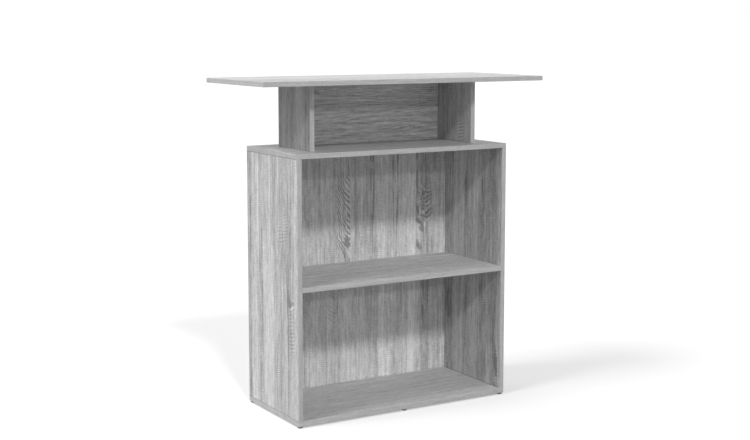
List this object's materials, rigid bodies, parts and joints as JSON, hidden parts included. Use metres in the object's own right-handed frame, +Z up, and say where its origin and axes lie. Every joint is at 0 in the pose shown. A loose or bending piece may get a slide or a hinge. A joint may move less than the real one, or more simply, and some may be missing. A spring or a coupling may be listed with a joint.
{
  "type": "reception desk",
  "caption": "Standing-height reception desk: open cabinet with a fixed shelf, a narrower open riser on it and an overhanging worktop, in grey oak foil.",
  "frame": {"origin": "on the floor, at the middle of the desk's footprint", "axes": "+X to the right and -Y out of the open side, as seen by someone who faces the shelves; +Z up"},
  "size_m": [1, 0.4, 1.043],
  "materials": {
    "oak_foil": "grey oak melamine foil with an embossed saw-mark grain, matt",
    "oak_foil_edge": "grey oak edge banding, matt",
    "beech": "raw fluted beech",
    "zinc_steel": "bright zinc plate",
    "cast_zinc": "die cast zinc",
    "cap_plastic": "plastic with a grey oak foil face",
    "glide_plastic": "moulded polyethylene"
  },
  "bodies": {
    "root": {"worktop": "oak_foil", "worktop_edge_bands": "oak_foil_edge", "riser_left_side": "oak_foil", "riser_left_edge_bands": "oak_foil_edge", "riser_right_side": "oak_foil", "riser_right_edge_bands": "oak_foil_edge", "riser_back_panel": "oak_foil", "cabinet_top": "oak_foil", "cabinet_top_edge_bands": "oak_foil_edge", "cabinet_left_side": "oak_foil", "cabinet_left_edge_bands": "oak_foil_edge", "cabinet_right_side": "oak_foil", "cabinet_right_edge_bands": "oak_foil_edge", "cabinet_back_panel": "oak_foil", "shelf": "oak_foil", "shelf_edge_band": "oak_foil_edge", "base_panel": "oak_foil", "base_edge_bands": "oak_foil_edge", "worktop_dowels": "beech", "riser_back_dowels": "beech", "riser_foot_dowels": "beech", "cabinet_top_dowels": "beech", "cabinet_back_dowels": "beech", "shelf_dowels": "beech", "base_dowels": "beech", "worktop_cam_bolts": "zinc_steel", "riser_cam_locks": "cast_zinc", "riser_cam_caps": "cap_plastic", "cabinet_top_cam_bolts": "zinc_steel", "cabinet_cam_locks": "cast_zinc", "cabinet_cam_caps": "cap_plastic", "shelf_cam_bolts": "zinc_steel", "shelf_cam_locks": "cast_zinc", "shelf_cam_caps": "cap_plastic", "riser_screws": "zinc_steel", "base_screws": "zinc_steel", "foot_glides": "glide_plastic", "foot_nails": "zinc_steel"}
  },
  "joints": []
}
